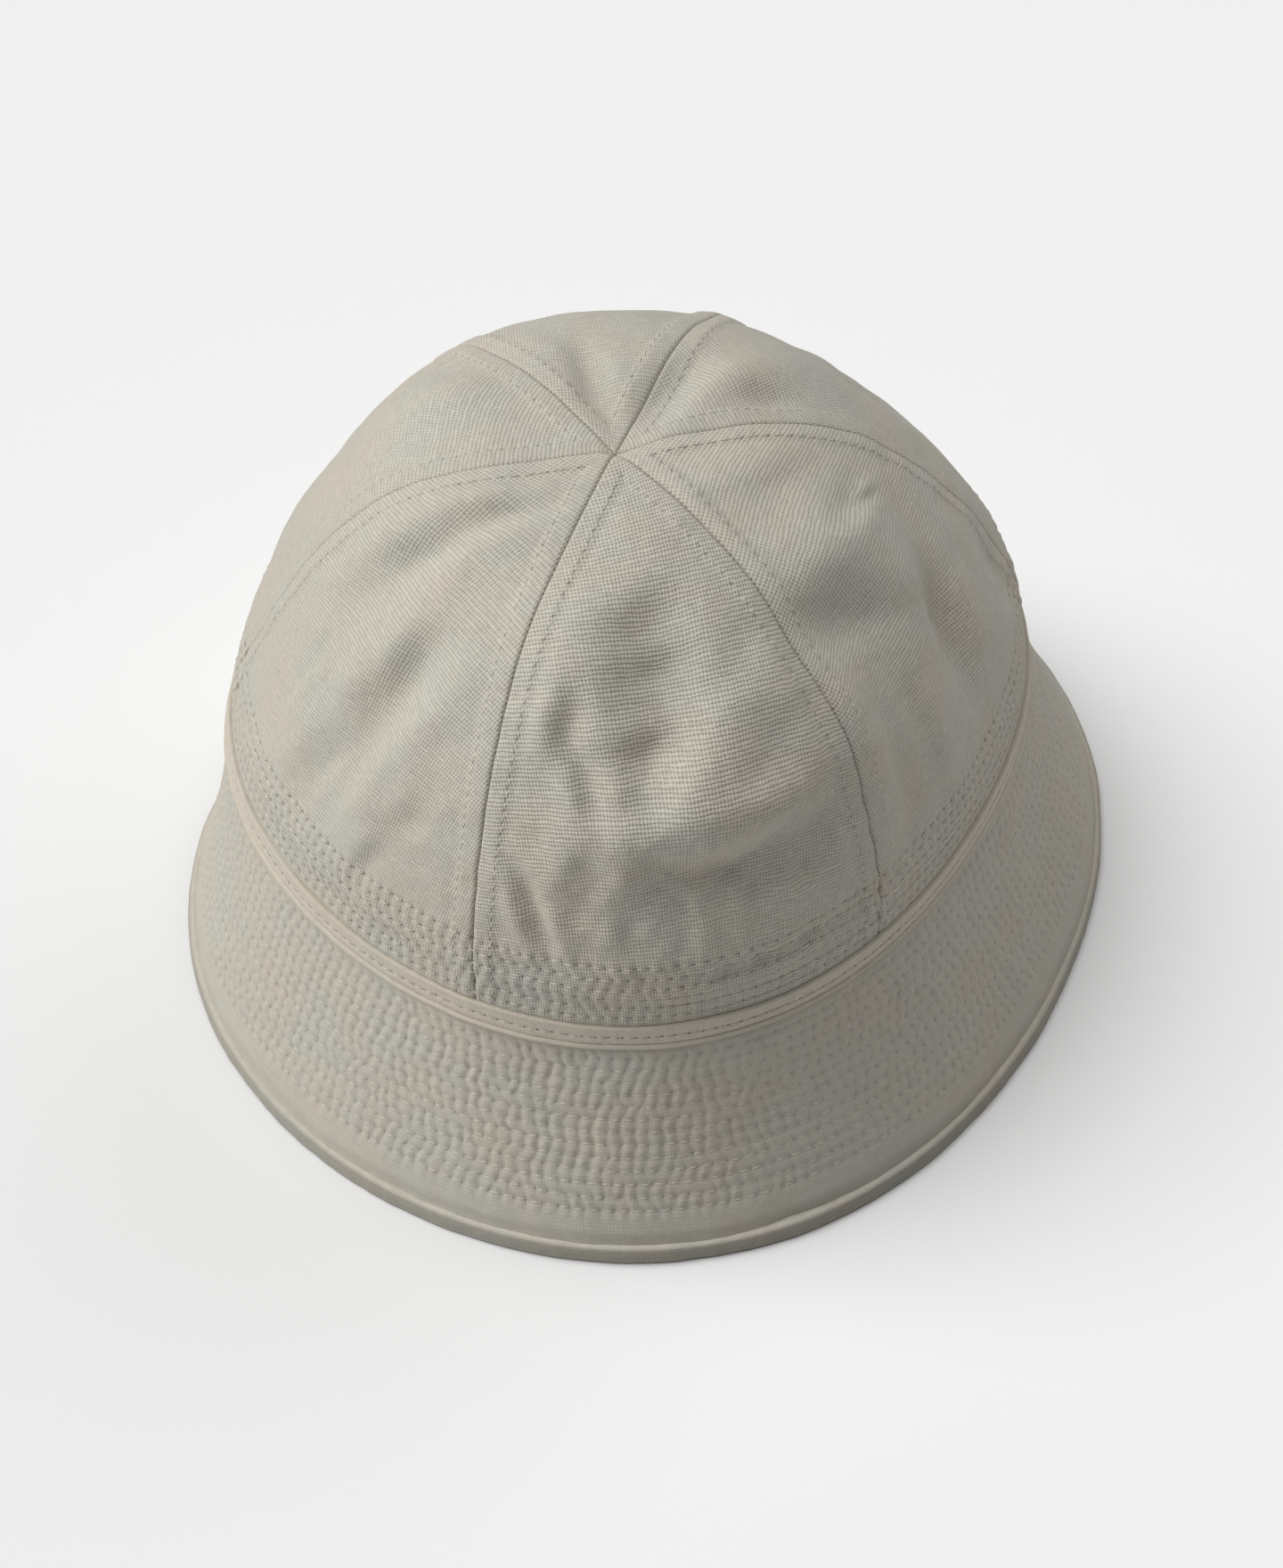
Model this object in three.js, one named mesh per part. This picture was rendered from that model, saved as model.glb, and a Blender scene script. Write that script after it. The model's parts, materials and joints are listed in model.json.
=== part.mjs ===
// Sailor cap: a soft cotton crown of six gores, a folded tape over the crown seam,
// a steep sloping brim and a rolled edge that the cap stands on.
// Millimetres, +Z up. The front of the cap faces -Y, and azimuths are counted
// in degrees from the front towards +X.
import * as THREE from "three";
import { mergeVertices } from "three/addons/utils/BufferGeometryUtils.js";

// Driving dimensions
const CROWN_WALL = 2.0;
const BRIM_WALL = 2.5;
const TAPE_HEIGHT = 8.5;
const BAND_HEIGHT = 20.0;
const GAP = 0.3;
const COLUMNS_AROUND = 72;

// The crown seam: the closed curve along the lower edge of the tape.
// Its radius is a circle with two waves on it, and it dips slightly to one side.
const CROWN_SEAM = {
  radius: 95.0, centreX: -1.5, centreY: 0.0, height: 58.3, slopeX: -0.0065, slopeY: -0.0012,
  waves: [
    { perTurn: 2, cos: -0.0254, sin: -0.0348 },
    { perTurn: 3, cos: 0.0404, sin: -0.0015 },
  ],
};

// The outermost line of the rolled edge, which lies level.
const BRIM_OUTLINE = {
  radius: 113.6, centreX: 2.2, centreY: 0.0, height: 2.5, slopeX: 0, slopeY: 0,
  waves: [
    { perTurn: 2, cos: -0.0068, sin: -0.0520 },
    { perTurn: 3, cos: 0.0181, sin: 0.0100 },
    { perTurn: 4, cos: 0.0039, sin: -0.0005 },
  ],
};

// The crown's side view. Each row is mean + cos1 cos(azimuth) + sin1 sin(azimuth) + the same twice round.
const APEX = { x: -5.6, y: -10.8, z: 165.8 };
const CROWN_PROFILE = {
  shoulder: { mean: 0.750, cos1: 0.074, sin1: 0.112, cos2: 0, sin2: 0 },
  rise: { mean: 0.713, cos1: -0.074, sin1: -0.060, cos2: 0, sin2: 0 },
  bulge: { mean: -0.128, cos1: 0.067, sin1: -0.001, cos2: 0.049, sin2: 0.021 },
};
const GORE_LENGTH = 161;

// Where each seam between two gores runs, as azimuths at the crown seam, halfway up and at the top.
const GORE_SEAMS = [
  { panel: "crown_panel_front", low: -33, middle: -32.5, high: -31 },
  { panel: "crown_panel_front_right", low: 28, middle: 26.5, high: 27 },
  { panel: "crown_panel_back_right", low: 95, middle: 94, high: 90 },
  { panel: "crown_panel_back", low: 148, middle: 147, high: 147 },
  { panel: "crown_panel_back_left", low: 208, middle: 211, high: 213 },
  { panel: "crown_panel_front_left", low: 258, middle: 265, high: 275 },
];

// How far the cloth stands off the plain crown, outwards positive.
const GORE_PUFF = 1.2;
const BAND_INSET = 1.0;
const UNDER_TAPE_INSET = 1.8;
const TAPE_STEP = 7;
const BAND_STEP = 4.5;
const SMOOTH_TIP_FROM = 0.8;

// The doubled cloth beside a gore's seams, as fractions of the gore's width.
const SEAM_RIB = { height: 0.7, fullUntil: 0.04, goneAt: 0.14 };

// The soft folds and dents: the azimuth and the fraction of the way up of the middle, the half width and
// half length, the lean of the length off the upright, the height of a ridge, and the height that is gained
// across the fold.
const FOLDS = [
  { name: "left upper fold", azimuth: -73, up: 0.66, width: 8, length: 18, lean: 12, ridge: 0, slope: -2.2 },
  { name: "left top fold", azimuth: -67, up: 0.84, width: 6, length: 12, lean: 20, ridge: 0, slope: -1.4 },
  { name: "left middle fold", azimuth: -57, up: 0.50, width: 6, length: 13, lean: 8, ridge: 0, slope: -1.3 },
  { name: "left lower fold", azimuth: -62, up: 0.36, width: 8, length: 18, lean: 14, ridge: 0, slope: -1.9 },
  { name: "left ridge", azimuth: -50, up: 0.42, width: 6, length: 18, lean: 14, ridge: 0, slope: 1.1 },
  { name: "front left hollow", azimuth: -11, up: 0.60, width: 12, length: 21, lean: 0, ridge: 0, slope: -3.4 },
  { name: "front upper edge", azimuth: -10, up: 0.71, width: 8, length: 14, lean: 45, ridge: 0, slope: -0.9 },
  { name: "front ridge", azimuth: 3, up: 0.58, width: 7, length: 26, lean: 0, ridge: 0, slope: 1.3 },
  { name: "front lower ridge", azimuth: -3, up: 0.42, width: 7, length: 13, lean: 10, ridge: 0, slope: 2.1 },
  { name: "front left crease", azimuth: -22, up: 0.51, width: 4, length: 12, lean: 4, ridge: 0, slope: -1.6 },
  { name: "front overhang", azimuth: 6, up: 0.26, width: 15, length: 27, lean: 86, ridge: 0, slope: -5.4 },
  { name: "front low dent", azimuth: -9, up: 0.24, width: 6, length: 12, lean: 5, ridge: 0, slope: -1.2 },
  { name: "right hollow", azimuth: 43, up: 0.55, width: 15, length: 17, lean: -42, ridge: 0, slope: 2.6 },
  { name: "right lower hollow", azimuth: 52, up: 0.44, width: 9, length: 14, lean: -20, ridge: 0, slope: 1.2 },
  { name: "right dent", azimuth: 66, up: 0.25, width: 6, length: 14, lean: 20, ridge: -5.5, slope: 2.0 },
  { name: "right low dent", azimuth: 90, up: 0.15, width: 8, length: 10, lean: 0, ridge: -2.2, slope: 0 },
  { name: "back left ridge", azimuth: -122, up: 0.80, width: 7, length: 14, lean: 0, ridge: 1.6, slope: 0 },
  { name: "back valley", azimuth: -176, up: 0.90, width: 4, length: 11, lean: 0, ridge: -2.0, slope: 0 },
  { name: "back right valley", azimuth: 136, up: 0.90, width: 5, length: 15, lean: 0, ridge: -2.4, slope: 0 },
  { name: "back right ridge", azimuth: 118, up: 0.80, width: 6, length: 14, lean: 0, ridge: 1.8, slope: 0 },
  { name: "back slump", azimuth: 178, up: 0.38, width: 13, length: 20, lean: 10, ridge: -2.4, slope: 0 },
  { name: "back ridge", azimuth: 150, up: 0.46, width: 6, length: 22, lean: -14, ridge: 1.6, slope: 0 },
  { name: "back left slump", azimuth: -140, up: 0.30, width: 9, length: 18, lean: -12, ridge: -2.2, slope: 0 },
  { name: "left back fold", azimuth: -120, up: 0.46, width: 7, length: 20, lean: 16, ridge: -1.8, slope: 0 },
  { name: "back right slump", azimuth: 118, up: 0.34, width: 9, length: 18, lean: 10, ridge: -2.2, slope: 0 },
];
const SLOPE_PEAK = 2.33;

// The brim hollows slightly between the crown seam and the rolled edge.
const BRIM_BOW = 1.5;
const BRIM_TOP_INSET = 0.7;
const BRIM_FOOT_INSET = 1.0;

// The rolled edge's section: an oval with its underside pressed flat on the floor.
const ROLL = { halfWidth: 2.3, halfHeight: 2.9, middleHeight: 2.5, sides: 12 };

// The tape's section: rise over the crown seam, and distance off the plain crown.
const TAPE_SECTION = [
  { rise: 0.0, off: -1.5 },
  { rise: 0.0, off: -0.3 },
  { rise: 1.2, off: 0.3 },
  { rise: 2.6, off: -0.1 },
  { rise: 7.6, off: -0.1 },
  { rise: TAPE_HEIGHT, off: -0.5 },
  { rise: TAPE_HEIGHT, off: -1.5 },
];

// How finely the walls are divided. The gore's columns crowd towards its seams, and its lower rows
// stand at the band's steps.
const GORE_COLUMNS = [0, 0.05, 0.12, 0.22, 0.33, 0.44, 0.56, 0.67, 0.78, 0.88, 0.95, 1];
const GORE_LOW_RISES = [0, 9.3, 15.5, 20, 26, 35];
const GORE_HIGH_ROWS = 12;
const GORE_TIP = 0.9987;
const TOWARDS_TIP = 1.35;
const BRIM_ROWS = 6;
const TURN_STEP = 0.01;
const UP_STEP = 0.004;
const UP_LIMIT = 0.9995;

const CLOTH = { color: 0xc4bdae, roughness: 0.95, metalness: 0 };
const CREAM = { color: 0xd0c7b4, roughness: 0.9, metalness: 0 };

const radians = THREE.MathUtils.degToRad;
const smooth = (x, low, high) => THREE.MathUtils.smoothstep(x, low, high);

// A point on one of the two closed curves.
function curvePoint(curve, azimuth) {
  let radius = curve.radius;
  for (const wave of curve.waves) {
    const turn = wave.perTurn * azimuth;
    radius += curve.radius * (wave.cos * Math.cos(turn) + wave.sin * Math.sin(turn));
  }
  const x = radius * Math.sin(azimuth);
  const y = -radius * Math.cos(azimuth);
  const z = curve.height + curve.slopeX * x + curve.slopeY * y;
  return new THREE.Vector3(x + curve.centreX, y + curve.centreY, z);
}

// The level direction that points straight out of a closed curve.
function outwards(curve, azimuth) {
  const along = curvePoint(curve, azimuth + TURN_STEP).sub(curvePoint(curve, azimuth - TURN_STEP));
  return new THREE.Vector3(along.y, -along.x, 0).normalize();
}

function aroundCap(row, azimuth) {
  return row.mean + row.cos1 * Math.cos(azimuth) + row.sin1 * Math.sin(azimuth)
    + row.cos2 * Math.cos(2 * azimuth) + row.sin2 * Math.sin(2 * azimuth);
}

// The plain crown, without folds: up runs from 0 at the crown seam to 1 at the apex.
function plainCrown(azimuth, up) {
  const foot = curvePoint(CROWN_SEAM, azimuth);
  const turn = up * Math.PI / 2;
  const shoulder = aroundCap(CROWN_PROFILE.shoulder, azimuth);
  const rise = aroundCap(CROWN_PROFILE.rise, azimuth);
  const bulge = aroundCap(CROWN_PROFILE.bulge, azimuth);
  const spread = Math.cos(turn) ** shoulder * (1 + bulge * Math.sin(Math.PI * up));
  const lift = Math.sin(turn) ** rise;
  return new THREE.Vector3(
    APEX.x + (foot.x - APEX.x) * spread,
    APEX.y + (foot.y - APEX.y) * spread,
    foot.z + (APEX.z - foot.z) * lift,
  );
}

// The fraction of the way up at which the plain crown stands so far over the crown seam.
function upAtRise(azimuth, height) {
  const whole = APEX.z - curvePoint(CROWN_SEAM, azimuth).z;
  const rise = aroundCap(CROWN_PROFILE.rise, azimuth);
  return Math.asin((height / whole) ** (1 / rise)) * 2 / Math.PI;
}

// The direction straight out of a surface that is given as a function of two numbers.
function normalOf(surface, azimuth, up) {
  const low = Math.max(up - UP_STEP, 1 - UP_LIMIT);
  const high = Math.min(up + UP_STEP, UP_LIMIT);
  const around = surface(azimuth + TURN_STEP, up).sub(surface(azimuth - TURN_STEP, up));
  const upwards = surface(azimuth, high).sub(surface(azimuth, low));
  return around.cross(upwards).normalize();
}

// A point off the plain crown. At the wall's foot it moves level, so that the foot ends on the crown seam.
function offPlainCrown(azimuth, up, off) {
  const normal = normalOf(plainCrown, azimuth, up);
  if (up === 0) normal.setZ(0).normalize();
  return plainCrown(azimuth, up).addScaledVector(normal, off);
}

// The soft folds at a place on the crown, in millimetres outwards.
function foldHeight(azimuth, up) {
  const here = plainCrown(azimuth, up);
  const reach = Math.hypot(here.x - APEX.x, here.y - APEX.y);
  const whole = 2 * Math.PI;
  let height = 0;
  for (const fold of FOLDS) {
    const turn = azimuth - radians(fold.azimuth);
    const side = reach * (THREE.MathUtils.euclideanModulo(turn + Math.PI, whole) - Math.PI);
    const rise = (up - fold.up) * GORE_LENGTH;
    const lean = radians(fold.lean);
    const across = (side * Math.cos(lean) - rise * Math.sin(lean)) / fold.width;
    const along = (side * Math.sin(lean) + rise * Math.cos(lean)) / fold.length;
    const profile = fold.ridge + fold.slope * SLOPE_PEAK * across;
    height += profile * Math.exp(-across * across - along * along);
  }
  return height;
}

// The lower crown is drawn in by its stitched band, and further in under the tape.
function bandInset(rise) {
  const band = BAND_INSET * (1 - smooth(rise, BAND_HEIGHT - BAND_STEP, BAND_HEIGHT));
  const overTape = smooth(rise, TAPE_HEIGHT, TAPE_HEIGHT + TAPE_STEP);
  const underTape = (UNDER_TAPE_INSET - BAND_INSET) * (1 - overTape);
  return band + underTape;
}

// How far the outside of a gore stands off the plain crown. across runs from 0 at one seam to 1 at the next.
function goreOffset(azimuth, up, across) {
  const rise = plainCrown(azimuth, up).z - curvePoint(CROWN_SEAM, azimuth).z;
  const overTape = smooth(rise, TAPE_HEIGHT, TAPE_HEIGHT + TAPE_STEP);
  const overBand = smooth(rise, TAPE_HEIGHT, BAND_HEIGHT + TAPE_STEP);
  const belowTip = 1 - smooth(up, SMOOTH_TIP_FROM, 1);
  const edge = Math.min(across, 1 - across);
  const puff = GORE_PUFF * Math.sin(Math.PI * across) * overBand * belowTip;
  const ribProfile = 1 - smooth(edge, SEAM_RIB.fullUntil, SEAM_RIB.goneAt);
  const rib = SEAM_RIB.height * ribProfile * overTape * belowTip;
  return puff + rib + foldHeight(azimuth, up) * overBand - bandInset(rise);
}

// A seam's azimuth on the way up: a parabola through its three stated azimuths.
function seamAzimuth(seam, up) {
  const low = seam.low * (1 - up) * (1 - 2 * up);
  const middle = seam.middle * 4 * up * (1 - up);
  const high = seam.high * up * (2 * up - 1);
  return radians(low + middle + high);
}

// Turns two equal grids of points, an outer and an inner, into one closed wall.
function closedWall(outer, inner, wrapsAround) {
  const rows = outer.length;
  const columns = outer[0].length;
  const positions = [];
  const triangle = (a, b, c) => positions.push(...a, ...b, ...c);
  const quad = (a, b, c, d) => {
    triangle(a, b, c);
    triangle(a, c, d);
  };
  const spans = wrapsAround ? columns : columns - 1;
  for (let column = 0; column < spans; column++) {
    const next = (column + 1) % columns;
    for (let row = 0; row < rows - 1; row++) {
      quad(outer[row][column], outer[row][next], outer[row + 1][next], outer[row + 1][column]);
      quad(inner[row][next], inner[row][column], inner[row + 1][column], inner[row + 1][next]);
    }
    quad(inner[0][column], inner[0][next], outer[0][next], outer[0][column]);
    const top = rows - 1;
    quad(outer[top][column], outer[top][next], inner[top][next], inner[top][column]);
  }
  if (!wrapsAround) {
    const last = columns - 1;
    for (let row = 0; row < rows - 1; row++) {
      quad(inner[row][0], outer[row][0], outer[row + 1][0], inner[row + 1][0]);
      quad(outer[row][last], inner[row][last], inner[row + 1][last], outer[row + 1][last]);
    }
  }
  return weld(positions);
}

// A closed ring made of one closed section at every azimuth. The section runs anticlockwise
// when it is seen with the outside of the cap on the right.
function closedRing(sections) {
  const positions = [];
  const count = sections[0].length;
  sections.forEach((section, index) => {
    const next = sections[(index + 1) % sections.length];
    for (let side = 0; side < count; side++) {
      const after = (side + 1) % count;
      positions.push(...section[side], ...next[side], ...next[after]);
      positions.push(...section[side], ...next[after], ...section[after]);
    }
  });
  return weld(positions);
}

function weld(positions) {
  const loose = new THREE.BufferGeometry();
  loose.setAttribute("position", new THREE.Float32BufferAttribute(positions, 3));
  const welded = mergeVertices(loose, 1e-4);
  welded.computeVertexNormals();
  return welded;
}

function piece(name, geometry, finish) {
  const mesh = new THREE.Mesh(geometry, new THREE.MeshStandardMaterial(finish));
  mesh.name = name;
  return mesh;
}

// How far up the crown a gore's row of points stands: the low rows at their rises, the others up to the tip.
function upOfRow(row, azimuth) {
  const lowRows = GORE_LOW_RISES.length;
  if (row < lowRows) return upAtRise(azimuth, GORE_LOW_RISES[row]);
  const start = upAtRise(azimuth, GORE_LOW_RISES[lowRows - 1]);
  const left = (1 - (row - lowRows + 1) / GORE_HIGH_ROWS) ** TOWARDS_TIP;
  return start + (GORE_TIP - start) * (1 - left);
}

// One gore of the crown, between its own seam and the next one.
function gore(seam, nextSeam) {
  const outer = [];
  const inner = [];
  const wraps = nextSeam.low < seam.low ? 2 * Math.PI : 0;
  for (let row = 0; row < GORE_LOW_RISES.length + GORE_HIGH_ROWS; row++) {
    const from = seamAzimuth(seam, upOfRow(row, radians(seam.middle)));
    const to = seamAzimuth(nextSeam, upOfRow(row, radians(nextSeam.middle))) + wraps;
    const outerRow = [];
    const innerRow = [];
    for (const across of GORE_COLUMNS) {
      const straight = from + (to - from) * across;
      const up = upOfRow(row, straight);
      const ahead = plainCrown(straight + TURN_STEP, up);
      const perRadian = ahead.distanceTo(plainCrown(straight - TURN_STEP, up)) / (2 * TURN_STEP);
      const azimuth = straight + (0.5 - across) * GAP / perRadian;
      const off = goreOffset(azimuth, up, across);
      outerRow.push(offPlainCrown(azimuth, up, off));
      innerRow.push(offPlainCrown(azimuth, up, off - CROWN_WALL));
    }
    outer.push(outerRow);
    inner.push(innerRow);
  }
  return piece(seam.panel, closedWall(outer, inner, false), CLOTH);
}

function seamTape() {
  const sections = azimuths().map((azimuth) => TAPE_SECTION.map(({ rise, off }) => {
    return offPlainCrown(azimuth, upAtRise(azimuth, rise), off);
  }));
  return piece("seam_tape", closedRing(sections), CREAM);
}

// The outside of the brim: down runs from 0 under the tape to 1 at the rolled edge.
function brimSurface(azimuth, down) {
  const out = outwards(CROWN_SEAM, azimuth);
  const top = curvePoint(CROWN_SEAM, azimuth).addScaledVector(out, -BRIM_TOP_INSET);
  const rollOut = outwards(BRIM_OUTLINE, azimuth);
  const foot = curvePoint(BRIM_OUTLINE, azimuth).addScaledVector(rollOut, -BRIM_FOOT_INSET);
  foot.z = ROLL.middleHeight + ROLL.halfHeight + GAP;
  const bow = -BRIM_BOW * Math.sin(Math.PI * down);
  return top.lerp(foot, down).addScaledVector(rollOut, bow);
}

function brim() {
  const outer = [];
  const inner = [];
  for (let row = 0; row <= BRIM_ROWS; row++) {
    const down = 1 - row / BRIM_ROWS;
    const outerRow = [];
    const innerRow = [];
    for (const azimuth of azimuths()) {
      const place = brimSurface(azimuth, down);
      if (row === BRIM_ROWS) place.z -= GAP;
      const normal = normalOf(brimSurface, azimuth, down).negate();
      const behind = place.clone().addScaledVector(normal, -BRIM_WALL);
      if (row === 0 || row === BRIM_ROWS) behind.z = place.z;
      outerRow.push(place);
      innerRow.push(behind);
    }
    outer.push(outerRow);
    inner.push(innerRow);
  }
  return piece("brim", closedWall(outer, inner, true), CLOTH);
}

function rolledEdge() {
  const sections = azimuths().map((azimuth) => {
    const out = outwards(BRIM_OUTLINE, azimuth);
    const section = [];
    for (let side = 0; side < ROLL.sides; side++) {
      const turn = 2 * Math.PI * side / ROLL.sides;
      const point = curvePoint(BRIM_OUTLINE, azimuth);
      point.addScaledVector(out, ROLL.halfWidth * (Math.cos(turn) - 1));
      point.z = Math.max(0, ROLL.middleHeight + ROLL.halfHeight * Math.sin(turn));
      section.push(point);
    }
    return section;
  });
  return piece("brim_edge", closedRing(sections), CLOTH);
}

function azimuths() {
  return Array.from({ length: COLUMNS_AROUND }, (_, index) => 2 * Math.PI * index / COLUMNS_AROUND);
}

const cap = new THREE.Group();
GORE_SEAMS.forEach((seam, index) => cap.add(gore(seam, GORE_SEAMS[(index + 1) % GORE_SEAMS.length])));
cap.add(seamTape());
cap.add(brim());
cap.add(rolledEdge());

// The origin is under the middle of the cap, on the surface that it stands on.
const box = new THREE.Box3().setFromObject(cap);
cap.position.set(-(box.min.x + box.max.x) / 2, -(box.min.y + box.max.y) / 2, -box.min.z);

export default cap;
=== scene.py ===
# The looks of a soft cotton sailor cap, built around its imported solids.
# Shapes are worked out in millimetres in the cap's own frame, and azimuths are counted in radians
# from the front (-Y) towards +X. Meshes are in metres, with the origin under the middle of the brim.
import json

import bmesh
import bpy
import numpy as np
from mathutils import Matrix, Vector

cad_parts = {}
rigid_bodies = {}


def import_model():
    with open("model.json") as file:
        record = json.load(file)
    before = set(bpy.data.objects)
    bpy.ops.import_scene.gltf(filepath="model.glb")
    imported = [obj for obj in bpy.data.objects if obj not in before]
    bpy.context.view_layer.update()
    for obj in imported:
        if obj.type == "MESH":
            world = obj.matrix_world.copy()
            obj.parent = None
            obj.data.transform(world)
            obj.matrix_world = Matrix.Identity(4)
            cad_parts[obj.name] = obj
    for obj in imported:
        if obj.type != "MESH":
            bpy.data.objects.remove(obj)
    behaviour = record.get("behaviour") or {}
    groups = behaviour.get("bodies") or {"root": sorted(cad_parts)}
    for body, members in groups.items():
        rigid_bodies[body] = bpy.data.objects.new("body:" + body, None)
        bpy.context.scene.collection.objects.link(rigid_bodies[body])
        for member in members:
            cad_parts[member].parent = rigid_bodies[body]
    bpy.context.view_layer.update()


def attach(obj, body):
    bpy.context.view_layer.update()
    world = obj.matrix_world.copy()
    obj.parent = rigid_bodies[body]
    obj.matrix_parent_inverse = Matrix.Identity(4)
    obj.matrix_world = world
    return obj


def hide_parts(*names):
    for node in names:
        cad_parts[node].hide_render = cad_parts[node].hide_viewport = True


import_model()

MM = 0.001
TURN = 2 * np.pi

# The closed curves of the crown seam and of the brim's edge: a circle with waves (per turn, cos, sin)
CROWN_SEAM = {
    "radius": 95.0, "centre": (-1.5, 0.0), "height": 58.3, "slope": (-0.0065, -0.0012),
    "waves": ((2, -0.0254, -0.0348), (3, 0.0404, -0.0015)),
}
BRIM_OUTLINE = {
    "radius": 113.6, "centre": (2.2, 0.0), "height": 2.5, "slope": (0.0, 0.0),
    "waves": ((2, -0.0068, -0.0520), (3, 0.0181, 0.0100), (4, 0.0039, -0.0005)),
}

# The crown's side view, each as mean, cos, sin, cos twice round, sin twice round
APEX = np.array([-5.6, -10.8, 165.8])
SHOULDER = (0.750, 0.074, 0.112, 0.0, 0.0)
RISE = (0.713, -0.074, -0.060, 0.0, 0.0)
BULGE = (-0.128, 0.067, -0.001, 0.049, 0.021)
GORE_LENGTH = 161.0

# Each gore starts at its own seam: the seam's azimuth in degrees at the foot, halfway and at the top,
# and how deep the seam is in millimetres
GORES = (
    ("crown_panel_front", -33, -32.5, -31, 0.9),
    ("crown_panel_front_right", 28, 26.5, 27, 1.0),
    ("crown_panel_back_right", 95, 94, 90, 0.5),
    ("crown_panel_back", 148, 147, 147, 0.9),
    ("crown_panel_back_left", 208, 211, 213, 0.9),
    ("crown_panel_front_left", 258, 265, 275, 0.45),
)

# Walls and steps
CROWN_WALL = 2.0
BRIM_WALL = 2.5
TAPE_HEIGHT = 7.7
BAND_HEIGHT = 20.0
GORE_PUFF = 1.2
BAND_INSET = 0.8
UNDER_TAPE_INSET = 1.9
TUCK = 1.3
TAPE_STEP = 7.0
BAND_STEP = 4.5
SMOOTH_TIP_FROM = 0.8
BRIM_BOW = 1.5
BRIM_TOP_INSET = 0.7
BRIM_FOOT_INSET = 1.0
ROLL_MIDDLE = 2.5
ROLL_HALF_WIDTH = 2.3
ROLL_HALF_HEIGHT = 2.9
GAP = 0.3

# Soft folds: azimuth and fraction of the way up of the middle, half width, half length, lean of the
# length off the upright, height of a ridge (or depth of a valley), and height of a slope that rises
# across the fold
FOLDS = (
    # left gore
    (-67, 0.84, 5, 12, 20, 0, -1.4),
    (-73, 0.66, 8, 18, 12, 0, -2.2),
    (-80, 0.50, 7, 14, 14, 0, -1.0),
    (-62, 0.74, 5, 22, 12, 0, 1.0),
    (-57, 0.50, 5, 13, 8, 0, -1.3),
    (-62, 0.36, 8, 18, 14, 0, -1.9),
    (-70, 0.20, 7, 12, 18, 0, -1.0),
    (-50, 0.42, 6, 18, 14, 0, 1.1),
    (-57, 0.24, 5, 14, 14, 0, 0.8),
    (-47, 0.24, 4, 9, 22, 0, -0.6),
    (-53, 0.13, 3.5, 7, 25, 0, -0.7),
    (-64, 0.20, 3, 9, 20, 0, 0.4),
    (-77, 0.30, 3, 14, 12, 0, 0.4),
    # front gore
    (-11, 0.60, 12, 21, 0, 0, -3.4),
    (-10, 0.71, 8, 14, 45, 0, -0.9),
    (3, 0.58, 7, 26, 0, 0, 1.3),
    (-6, 0.62, 6, 10, 70, 0, -0.5),
    (-7, 0.48, 6, 10, 70, 0, -0.5),
    (-22, 0.51, 4, 12, 4, 0, -1.6),
    (-18, 0.39, 3, 10, -16, 0, -0.9),
    (-14, 0.41, 5, 10, -10, 0, 1.1),
    (-3, 0.42, 7, 13, 10, 0, 2.1),
    (11, 0.54, 7, 15, 48, 0, 0.6),
    (13, 0.42, 8, 14, 50, 0, -0.7),
    (4, 0.26, 15, 22, 86, 0, -4.9),
    (-9, 0.24, 6, 12, 5, 0, -1.2),
    (-18, 0.24, 5, 10, 10, 0, -0.8),
    (-26, 0.17, 3, 10, -18, 0, -1.0),
    (-22, 0.14, 3, 9, -18, 0, 0.8),
    (-12, 0.14, 3, 7, -5, 0, -0.4),
    (-2, 0.14, 3, 7, 0, 0, 0.5),
    (6, 0.14, 3, 6, 5, 0, -0.5),
    (14, 0.16, 3, 8, 0, 0, -0.5),
    (20, 0.17, 3, 8, 0, 0, 0.4),
    (22, 0.46, 4, 24, 0, 0, -0.9),
    # dents over the band
    (-9, 0.072, 2.2, 3.0, 0, -0.6, 0),
    (2, 0.066, 2.4, 3.0, 0, -0.9, 0),
    (7, 0.066, 1.8, 3.0, 10, -0.9, 0),
    (15, 0.068, 2.8, 3.0, 15, -1.2, 0),
    (8, 0.058, 1.5, 20, 90, -1.0, 0),
    # right gore
    (32, 0.85, 2, 14, 0, 0.8, 0),
    (66, 0.76, 7, 20, -39, 0, 0.5),
    (65, 0.57, 6, 9, -60, 0, -1.1),
    (43, 0.55, 15, 18, -42, 0, 3.4),
    (52, 0.44, 10, 15, -20, 0, 1.8),
    (48, 0.33, 8, 14, -10, 0, 0.8),
    (74, 0.55, 2.5, 6, -50, 0, 0.6),
    (66, 0.26, 8, 17, 18, -5.2, 2.4),
    (34, 0.27, 5, 26, 0, 0, -1.0),
    (45, 0.25, 5, 20, -2, 0, 0.8),
    (90, 0.15, 8, 10, 0, -2.2, 0),
    # back gores
    (-122, 0.80, 7, 14, 0, 1.6, 0),
    (-108, 0.74, 5, 14, 0, -1.2, 0),
    (-175, 0.91, 4.5, 10, 0, -3.4, 0),
    (-160, 0.80, 6, 12, -20, 1.2, 0),
    (136, 0.91, 5, 13, 0, -3.6, 0),
    (118, 0.80, 6, 14, 0, 1.8, 0),
    (104, 0.76, 4, 12, 10, -1.4, 0),
    (178, 0.38, 13, 20, 10, -2.4, 0),
    (150, 0.46, 6, 22, -14, 1.6, 0),
    (-140, 0.30, 9, 18, -12, -2.2, 0),
    (-120, 0.46, 7, 20, 16, -1.8, 0),
    (-165, 0.20, 5, 12, 20, 1.2, 0),
    (118, 0.34, 9, 18, 10, -2.2, 0),
    (132, 0.20, 5, 12, -16, 1.2, 0),
)
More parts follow.
